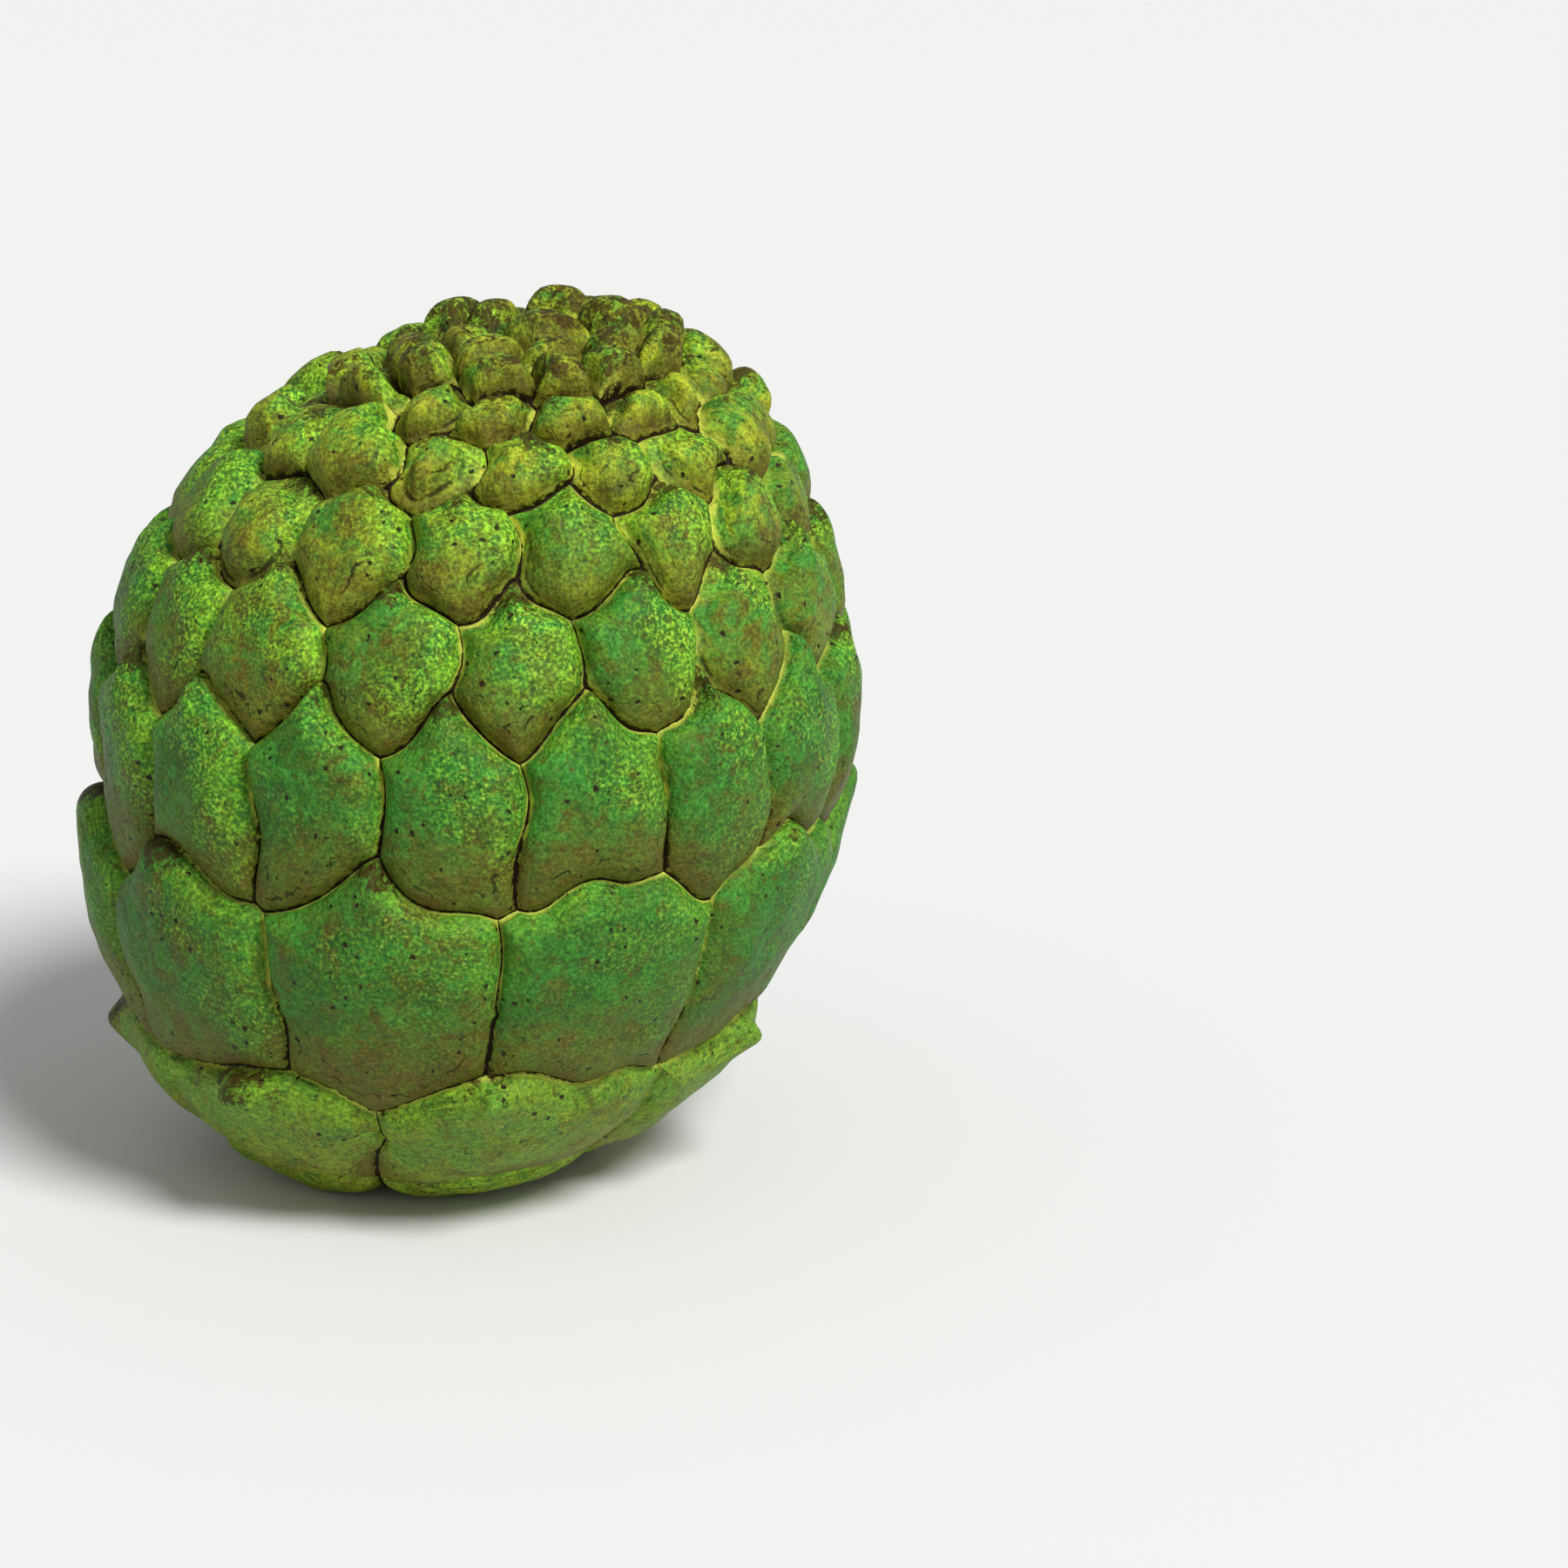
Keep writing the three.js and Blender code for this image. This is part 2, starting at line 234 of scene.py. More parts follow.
def place_scales():
    """Every scale's centre, directions, reach and relief, as arrays with one entry for each."""
    scales = []
    for k, row in enumerate(ROWS):
        below = max(k - 1, 0)
        above = min(k + 1, len(ROWS) - 1)
        steps = above - below
        levels = [body_point(ROWS[other].polar, 0) for other in (below, k, above)]
        gap = (math.dist(levels[1], levels[0]) + math.dist(levels[1], levels[2])) / steps
        polar_gap = (ROWS[above].polar - ROWS[below].polar) / steps
        lone = row.count == 1
        lone_reach = (REACH_DOWN if k == 0 else REACH_UP) * gap
        girth = 2 * math.pi * float(cross_section(levels[1][2])[0])
        for m in range(row.count):
            number = len(scales) + 1
            swing = [row.scatter * (2 * draw(number, purpose) - 1) for purpose in range(5)]
            size = 1 + SIZE_SCATTER / 2 * swing[3]
            seat = 0 if lone else SEAT_LOW * polar_gap
            turn = row.turn + 360 * (m + swing[1]) / row.count
            scales.append({
                "row": k,
                "centre": body_point(row.polar + swing[2] * polar_gap / 2 - seat, turn),
                "half_width": lone_reach if lone else girth / row.count / 2 * size,
                "reach_up": lone_reach if lone else REACH_UP * gap * size,
                "reach_down": lone_reach if lone else REACH_DOWN * gap * size,
                "relief": row.relief * (1 + RELIEF_SCATTER * swing[4]),
                "margin": row.margin * max(2 * draw(number, 6) - 1, 0),
                "spire": row.spire,
                "lone": lone,
            })
    table = {key: np.array([scale[key] for scale in scales]) for key in scales[0]}
    table["out"] = body_normals(table["centre"])
    east = unit(np.cross(UP, table["centre"]))
    east[table["lone"]] = (1, 0, 0)
    table["north"] = unit(np.cross(table["out"], east))
    table["east"] = np.cross(table["north"], table["out"])
    centres = table["centre"]
    apart = np.linalg.norm(centres[:, None] - centres[None], axis=2)
    table["neighbours"] = np.argsort(apart, axis=1, kind="stable")[:, 1:NEIGHBOURS + 1]
    return table


def claim(scales, index, points):
    """How far points are from a scale's centre, in its own reach. The least claim wins."""
    d = points - scales["centre"][index]
    rise = dot(d, scales["north"][index])
    power = np.where(rise > 0, POINT_POWER, BOWL_POWER)
    across = np.abs(dot(d, scales["east"][index])) / scales["half_width"][index]
    deep = np.abs(dot(d, scales["out"][index])) / scales["half_width"][index]
    spire = 1 + scales["spire"][index] * np.exp(-(across / SPIRE_WIDTH) ** 2)
    up = scales["reach_up"][index] * spire
    along = np.abs(rise) / np.where(rise > 0, up, scales["reach_down"][index])
    return (across ** power + along ** power + deep ** power) ** (1 / power)


def walk(scales, own, bearing, distance):
    """The body's points at a bearing and a distance from scales' centres."""
    east = (distance * np.cos(bearing))[..., None] * scales["east"][own]
    north = (distance * np.sin(bearing))[..., None] * scales["north"][own]
    return onto_body(scales["centre"][own] + east + north)


def border(scales, own, bearing, rivals):
    """Where scales give way to their rivals at a bearing, and which rival is there."""
    near = np.zeros(len(own))
    reach = np.stack([scales[key][own] for key in ("half_width", "reach_up", "reach_down")])
    far = FARTHEST_BORDER * reach.max(axis=0)
    for _ in range(HALVINGS):
        middle = (near + far) / 2
        p = walk(scales, own, bearing, middle)
        theirs = claim(scales, rivals, p[:, None]).min(axis=1)
        inside = claim(scales, own, p) < theirs
        near = np.where(inside, middle, near)
        far = np.where(inside, far, middle)
    points = walk(scales, own, bearing, far)
    winner = claim(scales, rivals, points[:, None]).argmin(axis=1)
    return points, rivals[np.arange(len(own)), winner]


def find_corners(scales):
    """The corners of every scale: its bearings where the rival changes, found by halving."""
    count = len(scales["row"])
    bearings = 2 * math.pi * np.arange(SWEEP_STEPS + 1) / SWEEP_STEPS
    own = np.repeat(np.arange(count), SWEEP_STEPS + 1)
    around = np.tile(bearings, count)
    _, owners = border(scales, own, around, scales["neighbours"][own])
    owners = owners.reshape(count, -1)
    found, step = np.nonzero(owners[:, 1:] != owners[:, :-1])
    low = bearings[step]
    high = bearings[step + 1]
    before = owners[found, step]
    for _ in range(CORNER_HALVINGS):
        middle = (low + high) / 2
        _, owner = border(scales, found, middle, scales["neighbours"][found])
        same = owner == before
        low = np.where(same, middle, low)
        high = np.where(same, high, middle)
    points, _ = border(scales, found, high, scales["neighbours"][found])
    return found, high, points


def share_corners(points):
    """One vertex for the corners that several scales found in the same place."""
    group = np.arange(len(points))
    apart = np.linalg.norm(points[:, None] - points[None], axis=2)
    for a, b in zip(*np.nonzero(np.triu(apart < CORNER_MERGE, 1))):
        group[group == group[b]] = group[a]
    names, vertex = np.unique(group, return_inverse=True)
    seats = np.array([points[vertex == k].mean(axis=0) for k in range(len(names))])
    return vertex, onto_body(seats)


def evenly_along(line, pieces):
    """Points at equal steps along a polyline, without its ends."""
    lengths = np.linalg.norm(np.diff(line, axis=0), axis=1)
    travelled = np.concatenate([[0], np.cumsum(lengths)])
    wanted = travelled[-1] * np.arange(1, pieces) / pieces
    return np.stack([np.interp(wanted, travelled, line[:, axis]) for axis in range(3)], axis=1)


def trace_outlines(scales):
    """Seats of the outline vertices, and each scale's ring of them. Neighbours share theirs."""
    found, bearings, points = find_corners(scales)
    vertex, corner_seats = share_corners(points)
    spans = []
    for scale in range(len(scales["row"])):
        own = np.nonzero(found == scale)[0]
        kept = [c for c, after in zip(own, np.roll(own, -1)) if vertex[c] != vertex[after]]
        spans.append([(a, b) for a, b in zip(kept, kept[1:] + kept[:1])])
    edges = {}
    for scale, pairs in enumerate(spans):
        for a, b in pairs:
            edges.setdefault(frozenset((vertex[a], vertex[b])), (scale, a, b))
    own = np.array([scale for scale, _, _ in edges.values()])
    start = np.array([bearings[a] for _, a, _ in edges.values()])
    turn = (np.array([bearings[b] for _, _, b in edges.values()]) - start) % (2 * math.pi)
    _, rival = border(scales, own, start + turn / 2, scales["neighbours"][own])
    share = np.arange(1, EDGE_SAMPLES) / EDGE_SAMPLES
    bearing = (start[:, None] + turn[:, None] * share).ravel()
    repeated = np.repeat(np.arange(len(own)), len(share))
    middles, _ = border(scales, own[repeated], bearing, rival[repeated][:, None])
    middles = middles.reshape(len(own), len(share), 3)
    seats = [corner_seats]
    used = len(corner_seats)
    chains = {}
    for k, (key, (_, a, b)) in enumerate(edges.items()):
        line = np.vstack([corner_seats[vertex[a]], middles[k], corner_seats[vertex[b]]])
        length = np.linalg.norm(np.diff(line, axis=0), axis=1).sum()
        pieces = max(2, round(length / OUTLINE_STEP))
        seats.append(evenly_along(line, pieces))
        chains[key] = (vertex[a], list(range(used, used + pieces - 1)))
        used += pieces - 1
    outlines = []
    for pairs in spans:
        ring = []
        for a, b in pairs:
            first, chain = chains[frozenset((vertex[a], vertex[b]))]
            ring += [int(vertex[a])] + (chain if first == vertex[a] else chain[::-1])
        outlines.append(ring)
    return onto_body(np.vstack(seats)), outlines


def around_ring(ring, count):
    """Points at equal shares of the way round a closed ring of points."""
    place = np.arange(count) * len(ring) / count
    whole = np.floor(place).astype(int)
    part = (place - whole)[:, None]
    return ring[whole] * (1 - part) + ring[(whole + 1) % len(ring)] * part


def zip_rings(outer, inner):
    """Triangles between two closed rings of vertex numbers with any number of vertices each."""
    a, b = len(outer), len(inner)
    marks = np.concatenate([(np.arange(a) + 1) / a, (np.arange(b) + 1) / b + 1e-9])
    order = np.argsort(marks, kind="stable")
    on_outer = order < a
    i = np.cumsum(on_outer) - on_outer
    j = np.cumsum(~on_outer) - ~on_outer
    here = outer[i % a]
    there = inner[j % b]
    third = np.where(on_outer, outer[(i + 1) % a], inner[(j + 1) % b])
    return np.stack([here, third, there], axis=1)


def distance_to_outline(points, ring):
    """The distance from points to the nearest stretch of a closed ring of points."""
    steps = np.roll(ring, -1, axis=0) - ring
    offset = points[:, None] - ring[None]
    share = np.clip(dot(offset, steps[None]) / dot(steps, steps)[None], 0, 1)
    return np.linalg.norm(offset - share[..., None] * steps[None], axis=2).min(axis=1)


def boss_share(margin, share, height):
    """The share of the way to the foot of a scale's boss, which is over 1 on the belt round it."""
    return np.minimum(share / (1 - margin * (1 + BELT_SKEW * height)), BEYOND_BOSS)


def raise_scale(row, relief, margin, share, height, from_tip):
    """How far the skin stands out, by the same rule as the solid."""
    inner = np.minimum(boss_share(margin, share, height), 1)
    boss = (1 - inner ** (row.crown * (1 + SHELF * height))) ** BOSS_ROUNDING
    belt = BELT * (1 - share ** BELT_CROWN) if margin > 0 else 0
    dome = np.maximum(boss, belt)
    lift = smoothstep(height, *LIFT_HEIGHTS)
    tip = np.exp(-(from_tip / HOOK_WIDTH) ** 2)
    return dome * (relief * (1 - row.beak + row.beak * lift) + row.hook * tip)


def dents(points, share):
    """Soft unevenness of the rind, which fades out at the scale's outline."""
    total = np.zeros(len(points))
    for size, depth in DENTS:
        total += depth * np.array([noise.noise(p) - DENT_LEVEL for p in (points / size).tolist()])
    return total * (1 - share ** DENT_FADE)


def inner_rings(centre, ring):
    """Points of the rings inside an outline, with its centre as the last, and each one's share."""
    reach = np.linalg.norm(ring - centre, axis=1).mean()
    insets = RING_STARTS + list(np.arange(RING_STARTS[-1] + RING_STEP, reach, RING_STEP))
    rings = []
    shares = []
    count = len(ring)
    for share in [1 - inset / reach for inset in insets if inset < LAST_RING * reach]:
        count = min(count, max(FEWEST_IN_RING, round(RING_CROWDING * len(ring) * share)))
        rings.append(centre + share * (around_ring(ring, count) - centre))
        shares.append(np.full(count, share))
    return rings + [centre[None]], shares + [np.zeros(1)]


def grow_skin():
    """The whole skin: vertices, triangles, and what the material reads from each of them."""
    scales = place_scales()
    outline_seats, outlines = trace_outlines(scales)
    used = len(outline_seats)
    seats = [outline_seats]
    leans = [np.zeros((used, 3))]
    rises = [np.full(used, -NOTCH_DEPTH)]
    edges = [np.zeros(used)]
    bosses = [np.full(used, BEYOND_BOSS)]
    triangles = []
    draws = []
    levels = []
    tips = []
    scale_map = []
    for k, outline in enumerate(outlines):
        row = ROWS[scales["row"][k]]
        margin = scales["margin"][k]
        centre = scales["centre"][k]
        north = scales["north"][k]
        ring = outline_seats[outline]
        start = len(ring)
        inner, shares = inner_rings(centre, ring)
        own = onto_body(np.vstack(inner))
        share = np.concatenate(shares)
        every = np.vstack([ring, own])
        along = dot(every - centre, north)
        across = dot(every - centre, scales["east"][k])
        tip = ring[along[:start].argmax()]
        height = along / np.where(along > 0, along[:start].max(), -along[:start].min())
        from_tip = np.linalg.norm(every - tip, axis=1)
        edge = distance_to_outline(own, ring)
        rise = raise_scale(row, scales["relief"][k], margin, share,
                           height[start:], from_tip[start:])
        rise -= NOTCH_DEPTH * np.exp(-(edge / NOTCH_WIDTH) ** 2)
        rise += dents(own, share)
        seats.append(own)
        leans.append(np.tile(LEAN * row.beak * north, (len(own), 1)))
        rises.append(rise)
        edges.append(edge)
        bosses.append(boss_share(margin, share, height[start:]))
        numbers = used + np.arange(len(own))
        used += len(own)
        ring_ends = np.cumsum([len(part) for part in inner[:-1]])
        rings = [np.array(outline)] + np.split(numbers, ring_ends)
        faces = np.vstack([zip_rings(a, b) for a, b in zip(rings, rings[1:])])
        faces = faces[(faces[:, 0] != faces[:, 1]) & (faces[:, 1] != faces[:, 2])]
        triangles.append(faces)
        draws.append(np.full(len(faces), draw(k + 1, 9)))
        levels.append(np.full(len(faces), scales["row"][k] / (len(ROWS) - 1)))
        local = np.full(used, -1)
        local[outline] = np.arange(start)
        local[numbers] = start + np.arange(len(own))
        corners = local[faces.ravel()]
        tips.append(from_tip[corners])
        scale_map.append(np.stack([across / scales["half_width"][k], height], axis=1)[corners])
    rises = np.concatenate(rises)
    return {
        "points": settle(np.vstack(seats), rises, np.vstack(leans)),
        "triangles": np.vstack(triangles),
        "scale_map": np.vstack(scale_map),
        "POINT": {"edge": np.concatenate(edges), "rise": rises, "boss": np.concatenate(bosses)},
        "FACE": {"scale_draw": np.concatenate(draws), "row_level": np.concatenate(levels)},
        "CORNER": {"from_tip": np.concatenate(tips)},
    }


def settle(seats, rises, leans):
    """The skin's points in metres: swayed, raised, dimpled at the stem and flat where it stands."""
    seats = onto_body(swayed(seats))
    normals = body_normals(seats)
    p = seats + (normals + leans) * rises[:, None]
    from_stem = np.hypot(p[:, 0] - STEM_DRIFT, p[:, 1]) / DIMPLE_RADIUS
    p[:, 2] += np.where(p[:, 2] < 0, DIMPLE_DEPTH * np.exp(-from_stem ** 2), 0)
    p[:, 2] = np.maximum(p[:, 2], STANDING_LEVEL)
    return (p - ORIGIN) * MM


def mesh_object(name, skin):
    """A Blender mesh of the skin, with its values stored where the material reads them."""
    mesh = bpy.data.meshes.new(name)
    mesh.from_pydata(skin["points"].tolist(), [], skin["triangles"].tolist())
    for domain in ("POINT", "FACE", "CORNER"):
        for key, values in skin[domain].items():
            mesh.attributes.new(key, "FLOAT", domain).data.foreach_set("value", values)
    mesh.uv_layers.new(name="scale_map").uv.foreach_set("vector", skin["scale_map"].ravel())
    piece = bpy.data.objects.new(name, mesh)
    bpy.context.collection.objects.link(piece)
    return piece


def select_only(piece):
    bpy.ops.object.select_all(action="DESELECT")
    piece.select_set(True)
    bpy.context.view_layer.objects.active = piece


class Shader:
    """Short hand for the nodes of one material."""

    def __init__(self, name):
        self.material = bpy.data.materials.new(name)
        self.material.use_nodes = True
        self.tree = self.material.node_tree
        self.surface = self.tree.nodes["Principled BSDF"]

    def plug(self, socket, value):
        if isinstance(value, bpy.types.NodeSocket):
            self.tree.links.new(value, socket)
        elif value is not None:
            socket.default_value = value

    def node(self, kind, inputs=None, **settings):
        made = self.tree.nodes.new(kind)
        for key, value in settings.items():
            setattr(made, key, value)
        for key, value in (inputs or {}).items():
            self.plug(made.inputs[key], value)
        return made

    def maths(self, operation, a, b=None, c=None):
        return self.node("ShaderNodeMath", {0: a, 1: b, 2: c}, operation=operation).outputs[0]

    def times(self, *values):
        result = values[0]
        for value in values[1:]:
            result = self.maths("MULTIPLY", result, value)
        return result

    def add(self, base, value, share=1.0):
        """The base plus a share of the value."""
        return self.maths("MULTIPLY_ADD", value, share, base)

    def apart(self, a, b):
        """How far two values are from each other."""
        return self.maths("ABSOLUTE", self.maths("SUBTRACT", a, b))

    def band(self, value, low, high, to_low=0.0, to_high=1.0):
        """A soft step between two results, while the value goes from low to high or back."""
        inputs = {"Value": value, "From Min": low, "From Max": high,
                  "To Min": to_low, "To Max": to_high}
        return self.node("ShaderNodeMapRange", inputs, interpolation_type="SMOOTHSTEP").outputs[0]

    def mix(self, factor, a, b, blend="MIX"):
        made = self.tree.nodes.new("ShaderNodeMix")
        made.data_type = "RGBA"
        made.blend_type = blend
        for socket, value in ((0, factor), (6, a), (7, b)):
            self.plug(made.inputs[socket], value)
        return made.outputs[2]

    def shaded(self, colour, shade):
        """The colour made darker or lighter by a number."""
        return self.mix(1.0, colour, self.vector(shade, shade, shade), "MULTIPLY")

    def grain(self, vector, scale, detail=2.0, roughness=0.5, distortion=0.0):
        inputs = {"Vector": vector, "Scale": scale, "Detail": detail, "Roughness": roughness,
                  "Distortion": distortion}
        return self.node("ShaderNodeTexNoise", inputs).outputs["Fac"]

    def value(self, name):
        return self.node("ShaderNodeAttribute", attribute_name=name).outputs["Fac"]

    def parts(self, uv_name):
        coordinates = self.node("ShaderNodeUVMap", uv_map=uv_name).outputs[0]
        split = self.node("ShaderNodeSeparateXYZ", {0: coordinates})
        return split.outputs[0], split.outputs[1]

    def vector(self, x, y, z):
        return self.node("ShaderNodeCombineXYZ", {0: x, 1: y, 2: z}).outputs[0]


def tone(red, green, blue):
    """A linear colour from the usual 0 to 255 values."""
    def linear(value):
        value /= 255
        return value / 12.92 if value <= 0.04045 else ((value + 0.055) / 1.055) ** 2.4
    return (linear(red), linear(green), linear(blue), 1.0)


class Rind(Shader):
    """Where a point of the skin is, and the patterns of the rind that follow from it.

    Lengths are in millimetres, and a noise's scale is its waves in a millimetre. Height goes from
    -1 at a scale's lowest point to 1 at its tip, across from -1 to 1 over its width, and level from
    0 at the stem scar to 1 at the fruit's tip. Ground, mottle and grain_colours give a colour. The
    others give a share, from 0 where the pattern is absent to 1 where it is whole, apart from the
    fibres, which go both ways from 0.
    """

    def __init__(self, looks):
        super().__init__("rind")
        self.looks = looks
        place = self.node("ShaderNodeTexCoord").outputs["Object"]
        scale = (1 / MM, 1 / MM, 1 / MM)
        self.place = self.node("ShaderNodeMapping", {"Vector": place, "Scale": scale}).outputs[0]
        self.edge = self.value("edge")
        self.rise = self.value("rise")
        self.boss = self.value("boss")
        self.level = self.value("row_level")
        self.chance = self.value("scale_draw")
        self.from_tip = self.value("from_tip")
        self.across, self.height = self.parts("scale_map")
        self.wobble = self.clouds(0.09)
        self.fine = self.clouds(1.15, 3.0, 0.65)
        self.finest = self.clouds(2.6, 2.0, 0.6)
        self.granules = self.clouds(2.2, 3.0, 0.6)

    def clouds(self, scale, *finish):
        """Noise that fills the fruit's own space."""
        return self.grain(self.place, scale, *finish)

    def tint(self, colour, share, name):
        return self.mix(share, colour, tuple(getattr(self.looks, name)))

    def ground(self):
        """Deep green high on a scale, olive low on it and near the tip, painted lime highlight
        towards the light.
        """
        sway = self.band(self.wobble, 0.3, 0.7, -0.45, 0.45)
        upper = self.band(self.add(self.height, sway), -0.85, 0.3)
        colour = self.mix(upper, tuple(self.looks.olive), tuple(self.looks.deep_green))
        own_level = self.add(self.level, self.chance, 0.12)
        colour = self.tint(colour, self.band(own_level, 0.46, 0.78, 0.0, 0.85), "high_green")
        colour = self.tint(colour, self.band(self.level, 0.28, 0.1, 0.0, 0.5), "high_green")
        # Painted highlight: lime on the side of a scale towards the light, upper right.
        side = self.add(self.add(self.times(self.height, 0.35), self.across, 0.8), sway)
        most = self.band(self.level, 0.25, 0.55, 0.15, 0.75)
        return self.tint(colour, self.band(side, 0.1, 1.2, 0.0, most), "lime")

    def mottle(self, colour):
        """Brown clouds, mostly low on a scale, and brighter green ones."""
        low_down = self.band(self.height, 0.6, -0.8, -0.05, 0.1)
        brownness = self.add(self.clouds(0.2, 4.0, 0.6, 0.5), low_down)
        brownness = self.add(brownness, self.chance, 0.12)
        colour = self.tint(colour, self.band(brownness, 0.5, 0.76, 0.0, 0.75), "brown")
        patch = self.band(self.clouds(0.31, 3.0, 0.55, 0.9), 0.4, 0.64)
        share = self.times(self.band(self.height, -0.7, 0.4, 0.25, 0.85),
                           self.band(self.level, 0.2, 0.4, 0.5, 1.0))
        return self.tint(colour, self.times(patch, share), "fresh_green")

    def lit_side(self):
        """Upper right part of a scale, towards the light, with a soft and uneven border; highlights
        are painted there.
        """
        side = self.add(self.times(self.height, 0.6), self.across, 0.6)
        uneven = self.band(self.wobble, 0.3, 0.7, -0.5, 0.5)
        return self.band(self.add(side, uneven), -0.15, 0.85)

    def grain_colours(self, colour):
        """Grain of under a millimetre: light and dark granules and brown flecks, with more light
        granules and contrast on the lit side as a painted highlight.
        """
        # Painted highlight: more light granules and stronger grain on the side towards the light.
        lit = self.times(self.lit_side(), self.band(self.level, 0.22, 0.5, 0.12, 0.8))
        grain_and_highlight = self.add(lit, self.band(self.level, 0.3, 0.65, 0.08, 0.3))
        light = self.times(self.band(self.granules, 0.46, 0.62), grain_and_highlight, 0.85)
        colour = self.tint(colour, light, "lime")
        colour = self.tint(colour, self.band(self.fine, 0.5, 0.3, 0.0, 0.75), "dark_green")
        flecks = self.band(self.clouds(0.8, 4.0, 0.75), 0.52, 0.68, 0.0, 0.65)
        colour = self.tint(colour, flecks, "brown")
        contrast = self.add(0.14, grain_and_highlight, 0.3)
        darkest = self.maths("SUBTRACT", 0.95, contrast)
        lightest = self.add(1.0, contrast)
        shade = self.band(self.granules, 0.32, 0.68, darkest, lightest)
        shade = self.times(shade, self.band(self.finest, 0.3, 0.7, 0.85, 1.15))
        return self.shaded(colour, shade)

    def fibres(self):
        """Fine lines: along the upper edge of a big scale, and towards the tip on a small one."""
        seed = self.times(self.chance, 50.0)
        along_edge = self.vector(self.times(self.edge, 1.5), self.times(self.across, 2.6), seed)
        edge_lines = self.grain(along_edge, 1.0, 3.0, 0.65, 0.9)
        edge_share = self.times(self.band(self.height, 0.1, 0.75),
                                self.band(self.level, 0.62, 0.4), self.band(self.edge, 5.0, 0.8),
                                self.band(self.wobble, 0.4, 0.6, 0.35, 1.0))
        to_tip = self.vector(self.times(self.across, 5.0), self.times(self.height, 0.9), seed)
        tip_lines = self.grain(to_tip, 1.0, 3.0, 0.6, 0.5)
        tip_share = self.band(self.level, 0.4, 0.7, 0.08, 0.7)
        return self.add(self.times(self.add(edge_lines, -0.5), edge_share),
                        self.times(self.add(tip_lines, -0.5), tip_share))

    def shelf_highlight(self):
        """Painted highlight: a brighter band along the upper edge of a scale, which faces the
        light.
        """
        return self.times(self.band(self.edge, 4.5, 0.8), self.band(self.height, 0.0, 0.6),
                          self.band(self.wobble, 0.35, 0.6, 0.35, 1.0))

    def painted_glints(self):
        """Painted glints: clusters of the lightest granules, high on the scales and on their lit
        side.
        """
        cluster = self.band(self.clouds(0.17), 0.44, 0.62, 0.15, 1.0)
        return self.times(self.band(self.granules, 0.58, 0.7), cluster, self.lit_side(),
                          self.band(self.level, 0.2, 0.6, 0.3, 0.8))

    def scar(self):
        """Woody scar where the stalk sat, with a brown ring round it."""
        ring = self.times(self.band(self.level, 0.14, 0.1),
                          self.band(self.height, -0.3, -0.9, 0.0, 0.7))
        return self.maths("MAXIMUM", self.band(self.level, 0.06, 0.03), ring)

    def gap(self):
        """Shade between the knobs at the tip."""
        return self.times(self.band(self.level, 0.66, 0.8), self.band(self.rise, 3.4, 0.6))

    def rim(self):
        """Pale line inside the crease, uneven, strongest along a scale's upper edge, where it faces
        the light and is partly a painted highlight.
        """
        widest = self.band(self.level, 0.2, 0.6, 0.45, 1.0)
        width = self.band(self.clouds(0.4), 0.3, 0.7, 0.3, widest)
        strength = self.band(self.clouds(0.16), 0.35, 0.6, 0.3, 1.0)
        return self.times(self.band(self.edge, width, 0.1), strength,
                          self.band(self.height, -0.8, 0.25, 0.2, 1.0),
                          self.band(self.level, 0.2, 0.6, 0.6, 1.0))

    def crease(self):
        """Dark line, broad and whole under a scale and thin or broken beside it; the broad part
        under a scale is painted shade.
        """
        ragged = self.band(self.clouds(0.9, 3.0, 0.6), 0.3, 0.65, 0.45, 1.5)
        width = self.times(self.band(self.height, 0.35, -0.45, 0.1, 0.34), ragged)
        return self.band(self.edge, width, self.times(width, 0.45))

    def belt(self):
        """The smooth margin between a scale's boss and its outline, in places only."""
        return self.times(self.band(self.boss, 0.95, 1.06), self.band(self.edge, 0.2, 0.5),
                          self.band(self.clouds(0.22), 0.38, 0.6))

    def underside_shade(self):
        """Painted shade: dull brown low on a scale, deepest next to the crease."""
        near = self.band(self.edge, 2.6, 0.2, self.band(self.level, 0.3, 0.6, 0.25, 0.5), 1.0)
        return self.times(near, self.band(self.height, 0.2, -0.7),
                          self.band(self.wobble, 0.3, 0.6, 0.6, 1.0))

    def fold(self):
        """Thin broken lines: at the foot of a small scale's boss, and low on a big scale."""
        foot = self.times(self.band(self.apart(self.boss, 1.0), 0.06, 0.02),
                          self.band(self.edge, 0.5, 0.9), self.band(self.height, 0.5, -0.1),
                          self.band(self.clouds(0.33), 0.42, 0.55))
        return self.maths("MAXIMUM", foot, self.low_fold())

    def low_fold(self):
        """A line that wanders 1 to 3 mm inside the outline, on most scales."""
        wander = self.band(self.clouds(0.25, 3.0), 0.3, 0.7, 1.3, 3.4)
        line = self.band(self.apart(self.edge, wander), 0.2, 0.05)
        return self.times(line, self.band(self.clouds(0.5), 0.48, 0.58),
                          self.band(self.height, 0.1, -0.3), self.band(self.chance, 0.25, 0.4))

    def specks(self):
        """Small dark dots with ragged outlines, many on one scale and few on the next."""
        stray = self.node("ShaderNodeTexNoise", {"Vector": self.place, "Scale": 1.3, "Detail": 2.0})
        ragged = self.mix(1.0, self.place, stray.outputs["Color"], "ADD")
        dots = self.node("ShaderNodeTexVoronoi",
                         {"Vector": ragged, "Scale": 0.62, "Randomness": 1.0})
        pick = self.node("ShaderNodeSeparateColor", {0: dots.outputs["Color"]}).outputs[0]
        size = self.add(self.band(pick, 0.35, 1.0, -0.06, 0.19), self.chance, 0.06)
        return self.band(self.maths("SUBTRACT", dots.outputs["Distance"], size), 0.02, -0.05)

